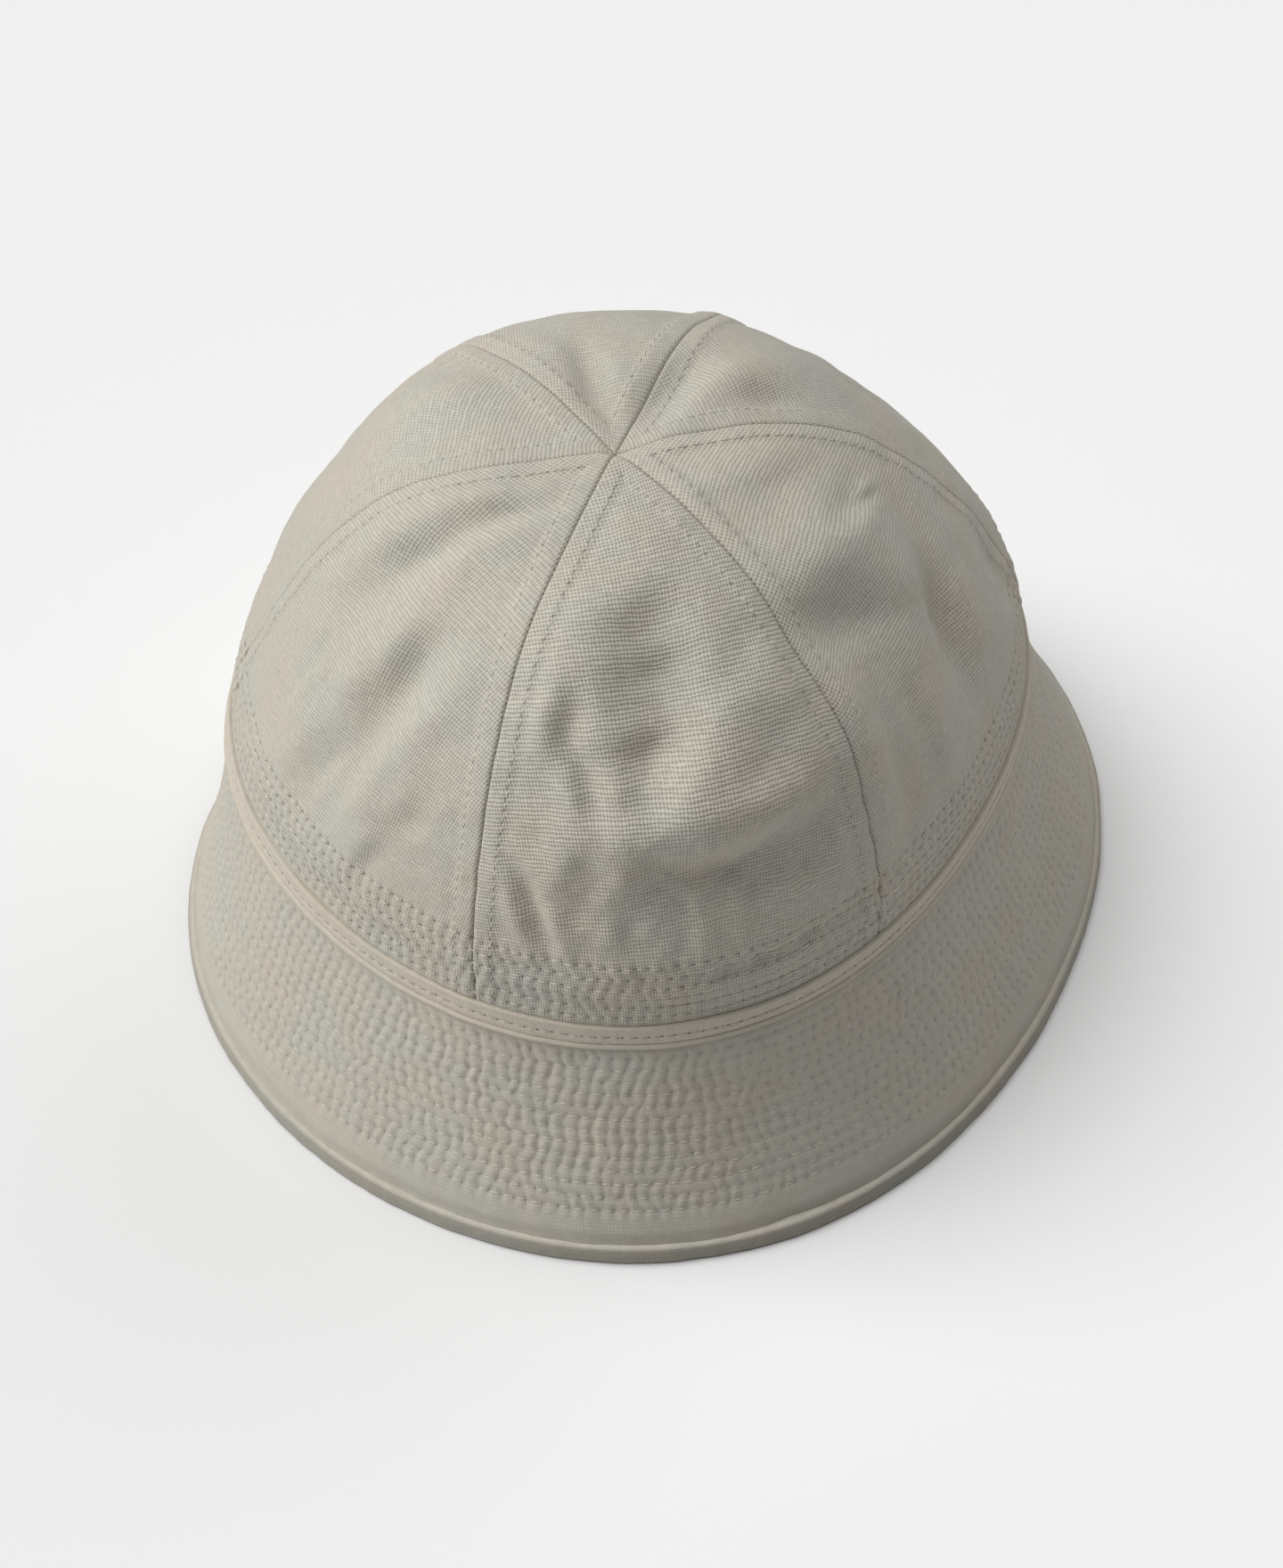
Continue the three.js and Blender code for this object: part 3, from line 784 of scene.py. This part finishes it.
def rolled_edge():
    columns = np.linspace(-np.pi, np.pi, EDGE_COLUMNS + 1)
    azimuth, turn = np.meshgrid(columns, TURN * np.arange(EDGE_SIDES) / EDGE_SIDES, indexing="ij")
    out = outwards(BRIM_OUTLINE, azimuth)
    centre = curve_point(BRIM_OUTLINE, azimuth)
    bumps = relief(centre, EDGE_BUMPS)
    across = (ROLL_HALF_WIDTH + bumps) * squarer(np.cos(turn)) - ROLL_HALF_WIDTH
    height = ROLL_MIDDLE + (ROLL_HALF_HEIGHT + bumps) * squarer(np.sin(turn))
    points = centre + out * across[..., None]
    points[..., 2] = np.maximum(0, height)
    u = closed(azimuth / TURN * np.round(ring_length(plain_brim, 1.0)))
    v = closed(turn / TURN * EDGE_ROUND)
    v[:, -1] += EDGE_ROUND
    return ring("brim_edge_cloth", points, {"cloth": np.stack([u, v], -1)})


# Threads

# Each kind of thread: how far it is lifted off the cloth, its length and its thickness
BRIM_THREAD = (0.06, 2.2, 0.36)
BAND_THREAD = (0.08, 2.2, 0.36)
SEAM_THREAD = (0.06, 1.9, 0.34)
TAPE_THREAD = (0.12, 2.0, 0.34)
# How far the ends are bent down, in thicknesses, and the places and radii along a thread, as parts of
# its length and of its full radius
THREAD_SINK = 0.9
THREAD_RINGS = ((-0.5, 0.0), (-0.36, 0.85), (0.0, 1.0), (0.36, 0.85), (0.5, 0.0))
THREAD_SIDES = 5
THREAD_STEP = TURN_STEP / 4


def threads(name, frames, kind):
    """One short thread for each stitch, its ends bent down into the cloth."""
    lift, length, thickness = kind
    places, along, outward = (np.concatenate(part) for part in zip(*frames))
    middles = places + outward * lift
    side = np.cross(along, outward)
    points = []
    for place, radius in THREAD_RINGS:
        sides = THREAD_SIDES if radius else 1
        sink = -THREAD_SINK * thickness * (2 * place) ** 2
        for corner in range(sides):
            turn = TURN * corner / sides
            across = radius * np.cos(turn) * thickness / 2
            height = radius * np.sin(turn) * thickness / 2 + sink
            points.append(middles + along * (place * length) + side * across + outward * height)
    points = np.stack(points, 1)
    count = points.shape[1]
    last = count - 1
    pattern = []
    for corner in range(THREAD_SIDES):
        after = (corner + 1) % THREAD_SIDES
        pattern.append((0, 1 + after, 1 + corner))
        pattern.append((last, last - THREAD_SIDES + corner, last - THREAD_SIDES + after))
        for layer in range(len(THREAD_RINGS) - 3):
            low = 1 + layer * THREAD_SIDES
            high = low + THREAD_SIDES
            pattern.append((low + corner, low + after, high + after, high + corner))
    faces = []
    for number in range(len(middles)):
        faces += [tuple(number * count + corner for corner in face) for face in pattern]
    return mesh_object(name, points.reshape(-1, 3), faces, {})


def laid_flat(direction, normal):
    """A direction without its part along the normal, as a unit vector."""
    return unit(direction - normal * (direction * normal).sum(-1, keepdims=True))


def stitch_frames(surface, azimuth, place):
    """The middle, direction and outward normal of stitches that lie round the cap."""
    points, normal = surface(azimuth, place)
    ahead, _ = surface(azimuth + THREAD_STEP, place)
    behind, _ = surface(azimuth - THREAD_STEP, place)
    return points, laid_flat(ahead - behind, normal), normal


def brim_outside(azimuth, down):
    points, normal, _, _ = brim_surface(azimuth, down)
    return points, normal


def brim_threads():
    frames = []
    for row, place in enumerate(brim_places):
        azimuth = brim_rows.azimuths(row)
        frames.append(stitch_frames(brim_outside, azimuth, np.full_like(azimuth, place)))
    return threads("brim_threads", frames, BRIM_THREAD)


def gore_index(azimuth, up):
    """Which gore a place is on, and its azimuth in the turn that starts at the first gore's seam."""
    first = seam_azimuth(0, up)
    turned = first + (azimuth - first) % TURN
    index = np.zeros(azimuth.shape, dtype=int)
    for number in range(1, len(GORES)):
        index[turned >= seam_azimuth(number, up)] = number
    return index, turned


def crown_outside(azimuth, up):
    index, turned = gore_index(azimuth, up)
    points = np.zeros(azimuth.shape + (3,))
    normal = np.zeros(azimuth.shape + (3,))
    for number in range(len(GORES)):
        here = index == number
        if here.any():
            points[here], normal[here], _, _ = gore_surface(number, turned[here], up[here])
    return points, normal


def band_threads():
    frames = []
    for row, rise in enumerate(band_places):
        azimuth = band_rows.azimuths(row)
        frames.append(stitch_frames(crown_outside, azimuth, up_at_rise(azimuth, rise)))
    return threads("band_threads", frames, BAND_THREAD)


def tape_groove(azimuth, up):
    normal = normal_of(plain_crown, azimuth, up)
    return plain_crown(azimuth, up) - TAPE_ROW_DEPTH * normal, normal


def tape_threads():
    azimuth = tape_rows.azimuths(0)
    frames = [stitch_frames(tape_groove, azimuth, up_at_rise(azimuth, TAPE_ROW))]
    return threads("tape_threads", frames, TAPE_THREAD)


def seam_threads():
    """The two rows of stitches beside each seam between gores."""
    frames = []
    for index in range(len(GORES)):
        ups, lengths = length_up(middle_azimuth(index))
        first = np.ceil(BAND_FIRST_ROW / SEAM_STITCH)
        end = np.floor((lengths[-1] - SEAM_ROW_ENDS_BELOW_TIP) / SEAM_STITCH)
        numbers = np.arange(first, end)
        for side in (1, -1):
            up = np.interp(numbers * SEAM_STITCH, lengths, ups)
            seam = seam_azimuth(index if side == 1 else index + 1, up)
            azimuth = seam + side * SEAM_ROW / per_radian(plain_crown, seam, up)
            points, normal, _, _ = gore_surface(index, azimuth, up)
            frames.append((points, laid_flat(np.gradient(points, axis=0), normal), normal))
    return threads("seam_threads", frames, SEAM_THREAD)


# Materials

def link_or_set(tree, socket, value):
    if isinstance(value, bpy.types.NodeSocket):
        tree.links.new(value, socket)
    else:
        socket.default_value = value


def math_node(tree, operation, *values):
    node = tree.nodes.new("ShaderNodeMath")
    node.operation = operation
    for socket, value in zip(node.inputs, values):
        link_or_set(tree, socket, value)
    return node.outputs[0]


def multiply(tree, first, second):
    return math_node(tree, "MULTIPLY", first, second)


def uv_parts(tree, layer):
    uv = tree.nodes.new("ShaderNodeUVMap")
    uv.uv_map = layer
    parts = tree.nodes.new("ShaderNodeSeparateXYZ")
    tree.links.new(uv.outputs[0], parts.inputs[0])
    return parts.outputs[0], parts.outputs[1]


def noise(tree, vector, scale, detail):
    node = tree.nodes.new("ShaderNodeTexNoise")
    node.inputs["Scale"].default_value = scale
    node.inputs["Detail"].default_value = detail
    tree.links.new(vector, node.inputs["Vector"])
    return node.outputs[0]


def combine(tree, x, y):
    node = tree.nodes.new("ShaderNodeCombineXYZ")
    link_or_set(tree, node.inputs[0], x)
    link_or_set(tree, node.inputs[1], y)
    return node.outputs[0]


def object_place(tree):
    return tree.nodes.new("ShaderNodeTexCoord").outputs["Object"]


def varied(tree, value, size):
    """A factor of about 1 that follows a value between 0 and 1, from a little under 1 to a little over."""
    return math_node(tree, "MULTIPLY_ADD", value, size, 1.0 - size / 2)


def hump(tree, *offs):
    """1 where all the distances are 0, falling to 0 at a distance of 1."""
    height = 1.0
    for off in offs:
        height = math_node(tree, "SUBTRACT", height, multiply(tree, off, off))
    return math_node(tree, "MAXIMUM", height, 0.0)


# The weave, in millimetres: the pitch of its ribs and of the threads across them, and how they stray
# (how fast that changes across and up the cloth, and how far it goes)
WEFT_PITCH = 1.0
WARP_PITCH = 0.7
RIB_STRAYS = (0.28, 0.6, 0.9)
WARP_STRAYS = (0.9, 0.30, 0.6)
STRAY_DETAIL = 2
RIB_SHARE = 0.58
STREAK_RATE = 0.45

# How much each thing changes the tone of a cloth whose weave is at full depth: the lighter rib crests and
# the darker gaps between the threads are painted light and shade of the weave's relief, the slubs are the
# yarn's own tone
RIB_PAINTED_LIGHT = 0.20
RIB_LEVEL = 0.12
GAP_PAINTED_SHADE = 0.68
SLUB_CHANGE = 0.34

# Tones that follow the cloth in space: the scale and detail of their noise, and how much they change
TINT_PATCHES = (55.0, 3)
TINT_CONTRAST = 2.2
TINT_LEVEL = -0.6
MOTTLE = (420.0, 3, 0.16)
SLOW_CHANGE = (14.0, 1, 0.10)
THREAD_TONES = (900.0, 2)
THREAD_CONTRAST = 0.35
THREAD_LEVEL = 0.82

# Painted shade in the needle holes: how unevenly it shows, and how deep the holes are for their darkness
HOLE_UNEVEN = (260.0, 1)
HOLE_LEVEL = 0.25
HOLE_DEPTH = 4.0
CLOTH_RELIEF = 0.24

# Where a mix node keeps its two colours and its mixed colour
MIX_COLOURS = (6, 7)
MIX_RESULT = 2


def straying(tree, u, v, rates):
    """How far a thread lies off its even place."""
    per_u, per_v, size = rates
    place = combine(tree, multiply(tree, u, per_u), multiply(tree, v, per_v))
    off = math_node(tree, "SUBTRACT", noise(tree, place, 1.0, STRAY_DETAIL), 0.5)
    return multiply(tree, off, size)


def thread_crest(tree, place, off, pitch):
    """1 on the middle of each thread and 0 between two threads."""
    turn = multiply(tree, math_node(tree, "ADD", place, off), np.pi / pitch)
    return math_node(tree, "ABSOLUTE", math_node(tree, "SINE", turn))


def weave_height(tree):
    """Coarse ribs across the cloth and finer threads up it, both a little irregular.

    It gives their height, the gaps between them as a mask for painted shade, and the streaks of thicker
    and thinner ribs, 0 to 1."""
    u, v = uv_parts(tree, "cloth")
    rib = thread_crest(tree, v, straying(tree, u, v, RIB_STRAYS), WEFT_PITCH)
    warp = thread_crest(tree, u, straying(tree, u, v, WARP_STRAYS), WARP_PITCH)
    height = math_node(tree, "MULTIPLY_ADD", rib, RIB_SHARE, multiply(tree, warp, 1 - RIB_SHARE))
    open_rib = math_node(tree, "SUBTRACT", 1.0, rib)
    open_warp = math_node(tree, "SUBTRACT", 1.0, warp)
    streaks = noise(tree, combine(tree, multiply(tree, u, STREAK_RATE), v), 1.0, 1)
    return height, multiply(tree, open_rib, open_warp), streaks


def hole_mark(tree, layer, stitch, spacing, half_length, half_width, row_at=None):
    """1 in the needle holes of the stitch rows and 0 away from them."""
    cosine, sine = uv_parts(tree, layer + "_turn")
    row, _ = uv_parts(tree, layer)
    from_hole = math_node(tree, "ARCTAN2", multiply(tree, sine, -1.0), multiply(tree, cosine, -1.0))
    nearest = math_node(tree, "ROUND", row) if row_at is None else row_at
    off_row = math_node(tree, "SUBTRACT", row, nearest)
    x = multiply(tree, from_hole, stitch / half_length / TURN)
    y = multiply(tree, off_row, spacing / half_width)
    return hump(tree, x, y)


def mix_colour(tree, factor, first, second):
    node = tree.nodes.new("ShaderNodeMix")
    node.data_type = "RGBA"
    link_or_set(tree, node.inputs[0], factor)
    for number, value in zip(MIX_COLOURS, (first, second)):
        link_or_set(tree, node.inputs[number], value)
    return node.outputs[MIX_RESULT]


def scaled_colour(tree, colour, factor):
    node = tree.nodes.new("ShaderNodeVectorMath")
    node.operation = "SCALE"
    tree.links.new(colour, node.inputs[0])
    link_or_set(tree, node.inputs["Scale"], factor)
    return node.outputs[0]


def cloth_material(name, warm, cool, weave_depth, holes, crest_highlight=None):
    """Woven cotton: two close tints in soft patches, painted shade between the threads and painted light
    on their crests, and painted shade in the needle holes.

    A crest highlight is a painted highlight along the cloth: the place of its middle, its half width and
    how light."""
    material = bpy.data.materials.new(name)
    material.use_nodes = True
    tree = material.node_tree
    shader = tree.nodes["Principled BSDF"]
    shader.inputs["Roughness"].default_value = 0.93
    shader.inputs["Specular IOR Level"].default_value = 0.18
    shader.inputs["Sheen Weight"].default_value = 0.10
    shader.inputs["Sheen Roughness"].default_value = 0.5

    place = object_place(tree)
    patches = math_node(tree, "MULTIPLY_ADD", noise(tree, place, *TINT_PATCHES), TINT_CONTRAST, TINT_LEVEL)
    tint = mix_colour(tree, patches, (*warm, 1), (*cool, 1))
    weave, gap_shade, streaks = weave_height(tree)
    # Painted light and shade of the weave: lighter on the thread crests and darker in the gaps between
    # them
    rib_level = 1.0 - RIB_LEVEL * weave_depth
    shade = math_node(tree, "MULTIPLY_ADD", weave, RIB_PAINTED_LIGHT * weave_depth, rib_level)
    between = math_node(tree, "MULTIPLY_ADD", gap_shade, -GAP_PAINTED_SHADE * weave_depth, 1.0)
    shade = multiply(tree, shade, between)
    shade = multiply(tree, shade, varied(tree, streaks, SLUB_CHANGE * weave_depth))
    for scale, detail, change in (MOTTLE, SLOW_CHANGE):
        shade = multiply(tree, shade, varied(tree, noise(tree, place, scale, detail), change))
    height = multiply(tree, weave, weave_depth)
    # Painted shade in the needle holes and in the pucker valleys round them; the holes are also pressed
    # into the bump
    for darkness, *hole in holes:
        unevenness = math_node(tree, "ADD", noise(tree, place, *HOLE_UNEVEN), HOLE_LEVEL)
        mark = multiply(tree, hole_mark(tree, *hole), unevenness)
        shade = multiply(tree, shade, math_node(tree, "MULTIPLY_ADD", mark, -darkness, 1.0))
        height = math_node(tree, "MULTIPLY_ADD", mark, -HOLE_DEPTH * darkness, height)
    # A painted highlight along the crest of the cloth
    if crest_highlight:
        middle, half_width, gain = crest_highlight
        _, v = uv_parts(tree, "cloth")
        off = multiply(tree, math_node(tree, "SUBTRACT", v, middle), 1 / half_width)
        shade = multiply(tree, shade, math_node(tree, "MULTIPLY_ADD", hump(tree, off), gain, 1.0))
    tree.links.new(scaled_colour(tree, tint, shade), shader.inputs["Base Color"])
    bump = tree.nodes.new("ShaderNodeBump")
    bump.inputs["Distance"].default_value = CLOTH_RELIEF * MM
    bump.inputs["Strength"].default_value = 1.0
    tree.links.new(height, bump.inputs["Height"])
    tree.links.new(bump.outputs[0], shader.inputs["Normal"])
    return material


def thread_material(name, colour):
    material = bpy.data.materials.new(name)
    material.use_nodes = True
    tree = material.node_tree
    shader = tree.nodes["Principled BSDF"]
    shader.inputs["Roughness"].default_value = 0.7
    shader.inputs["Specular IOR Level"].default_value = 0.3
    tones = noise(tree, object_place(tree), *THREAD_TONES)
    shade = math_node(tree, "MULTIPLY_ADD", tones, THREAD_CONTRAST, THREAD_LEVEL)
    tint = mix_colour(tree, shade, (0, 0, 0, 1), (*colour, 1))
    tree.links.new(tint, shader.inputs["Base Color"])
    return material


CLOTH_WARM = (0.484, 0.434, 0.362)
CLOTH_COOL = (0.445, 0.437, 0.380)
BRIM_WARM = (0.440, 0.394, 0.329)
BRIM_COOL = (0.404, 0.397, 0.345)
EDGE_WARM = (0.320, 0.287, 0.240)
EDGE_COOL = (0.296, 0.290, 0.252)
TAPE_WARM = (0.50, 0.445, 0.367)
TAPE_COOL = (0.475, 0.437, 0.367)
THREAD = (0.52, 0.485, 0.415)

# Each kind of painted shade in the needle holes (the wider marks spread it over the pucker valleys round
# the holes): its darkness, its layer, the stitch, the distance between rows (1 where the layer counts
# millimetres), half its length and half its width, and the place of a row that is alone
BRIM_HOLE_SHADE = (
    (0.12, "rows", BRIM_STITCH, brim_gap, 0.45, 0.45),
    (0.11, "rows", BRIM_STITCH, brim_gap, 0.85, 1.30),
)
CROWN_HOLE_SHADE = (
    (0.32, "rows", BAND_STITCH, band_gap, 0.5, 0.40),
    (0.08, "rows", BAND_STITCH, band_gap, 0.7, 1.30),
    (0.25, "seams", SEAM_STITCH, 1.0, 0.75, 0.38, SEAM_ROW),
)
TAPE_HOLE_SHADE = ((0.50, "rows", TAPE_STITCH, 1.0, 0.45, 0.30, 0.0),)
# A painted highlight on top of the rolled edge: the place of its middle round the section, its half width
# and how much lighter
EDGE_TOP_HIGHLIGHT = (4.1, 2.2, 0.55)

front_cloth = cloth_material("front_cloth", CLOTH_WARM, CLOTH_COOL, weave_depth=0.92, holes=CROWN_HOLE_SHADE)
crown_cloth = cloth_material("crown_cloth", CLOTH_WARM, CLOTH_COOL, weave_depth=0.75, holes=CROWN_HOLE_SHADE)
brim_cloth = cloth_material("brim_cloth", BRIM_WARM, BRIM_COOL, weave_depth=0.22, holes=BRIM_HOLE_SHADE)
edge_cloth = cloth_material(
    "edge_cloth", EDGE_WARM, EDGE_COOL, weave_depth=0.30, holes=(), crest_highlight=EDGE_TOP_HIGHLIGHT,
)
tape_cloth = cloth_material("tape_cloth", TAPE_WARM, TAPE_COOL, weave_depth=0.30, holes=TAPE_HOLE_SHADE)
thread = thread_material("thread", THREAD)


def finish_piece(piece, material, slot, *nodes):
    piece.data.materials.append(material)
    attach(piece, "root")
    if nodes:
        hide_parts(*nodes)


for number, (panel, *_) in enumerate(GORES):
    finish_piece(gore(number), crown_cloth if number else front_cloth, "crown_cloth", panel)
finish_piece(tape(), tape_cloth, "tape_cloth", "seam_tape")
finish_piece(brim(), brim_cloth, "brim_cloth", "brim")
finish_piece(rolled_edge(), edge_cloth, "edge_cloth", "brim_edge")
finish_piece(brim_threads(), thread, "brim_cloth")
finish_piece(band_threads(), thread, "crown_cloth")
finish_piece(seam_threads(), thread, "crown_cloth")
finish_piece(tape_threads(), thread, "tape_cloth")


# Floor and light

FLOOR_HALF_WIDTH = 8.0
FLOOR_TONE = 0.87


def floor():
    mesh = bpy.data.meshes.new("floor")
    corners = ((-1, -1), (1, -1), (1, 1), (-1, 1))
    points = [(x * FLOOR_HALF_WIDTH, y * FLOOR_HALF_WIDTH, 0) for x, y in corners]
    mesh.from_pydata(points, [], [(0, 1, 2, 3)])
    plane = bpy.data.objects.new("floor", mesh)
    bpy.context.scene.collection.objects.link(plane)
    material = bpy.data.materials.new("floor")
    material.use_nodes = True
    shader = material.node_tree.nodes["Principled BSDF"]
    shader.inputs["Base Color"].default_value = (FLOOR_TONE, FLOOR_TONE, FLOOR_TONE, 1)
    shader.inputs["Roughness"].default_value = 1.0
    shader.inputs["Specular IOR Level"].default_value = 0.0
    mesh.materials.append(material)


# Soft lamps: name, azimuth and elevation in degrees, spread in degrees, strength, and whether the floor
# is lit too. The low lamp would throw a long shadow, so it lights the cap alone.
LAMPS = (
    ("key", -106, 60, 38, 1.60, True),
    ("side", -94, 20, 40, 1.60, False),
    ("top", -90, 84, 50, 1.15, True),
    ("fill", 116, 42, 50, 0.76, True),
)
SKY_STRENGTH = 0.03


def direction(azimuth, elevation):
    """The unit vector from the cap towards a place at an azimuth and an elevation."""
    level = np.cos(elevation)
    return np.array([np.sin(azimuth) * level, -np.cos(azimuth) * level, np.sin(elevation)])


def lights():
    lit = bpy.data.collections.new("lit_alone")
    for piece in bpy.context.scene.objects:
        if piece.type == "MESH" and piece.name != "floor":
            lit.objects.link(piece)
    for name, azimuth, elevation, spread, strength, on_floor in LAMPS:
        towards = Vector(direction(*np.radians([azimuth, elevation])))
        light = bpy.data.lights.new(name, "SUN")
        light.angle = np.radians(spread)
        light.energy = strength
        lamp = bpy.data.objects.new(name, light)
        lamp.rotation_euler = towards.to_track_quat("Z", "Y").to_euler()
        if not on_floor:
            lamp.light_linking.receiver_collection = lit
        bpy.context.scene.collection.objects.link(lamp)
    world = bpy.data.worlds.new("sky")
    world.use_nodes = True
    background = world.node_tree.nodes["Background"]
    background.inputs["Color"].default_value = (1, 1, 1, 1)
    background.inputs["Strength"].default_value = SKY_STRENGTH
    bpy.context.scene.world = world


# The camera: it looks at a point above the middle of the cap, and is turned slightly about its own axis

CAMERA_DISTANCE = 1300.0
CAMERA_FOCAL_PIXELS = 5874.0
CAMERA_ELEVATION = 49.91
CAMERA_AZIMUTH = -9.47
CAMERA_ROLL = -1.74
LOOK_SIDEWAYS = -0.153
LOOK_UP = 23.59
PHOTO_HEIGHT = 1760
SENSOR = 36.0


def camera():
    azimuth, elevation, roll = np.radians([CAMERA_AZIMUTH, CAMERA_ELEVATION, CAMERA_ROLL])
    back = direction(azimuth, elevation)
    level = np.array([np.cos(azimuth), np.sin(azimuth), 0])
    steep = np.cross(back, level)
    target = LOOK_SIDEWAYS * level + LOOK_UP * steep
    right = level * np.cos(roll) + steep * np.sin(roll)
    up = steep * np.cos(roll) - level * np.sin(roll)
    data = bpy.data.cameras.new("camera")
    data.sensor_width = SENSOR
    data.lens = CAMERA_FOCAL_PIXELS / PHOTO_HEIGHT * SENSOR
    lens = bpy.data.objects.new("camera", data)
    pose = np.eye(4)
    pose[:3, :3] = np.stack([right, up, back], 1)
    pose[:3, 3] = to_metres(target + back * CAMERA_DISTANCE)
    lens.matrix_world = Matrix(pose.tolist())
    bpy.context.scene.collection.objects.link(lens)
    bpy.context.scene.camera = lens


floor()
lights()
camera()
bpy.context.scene.view_settings.view_transform = "Standard"
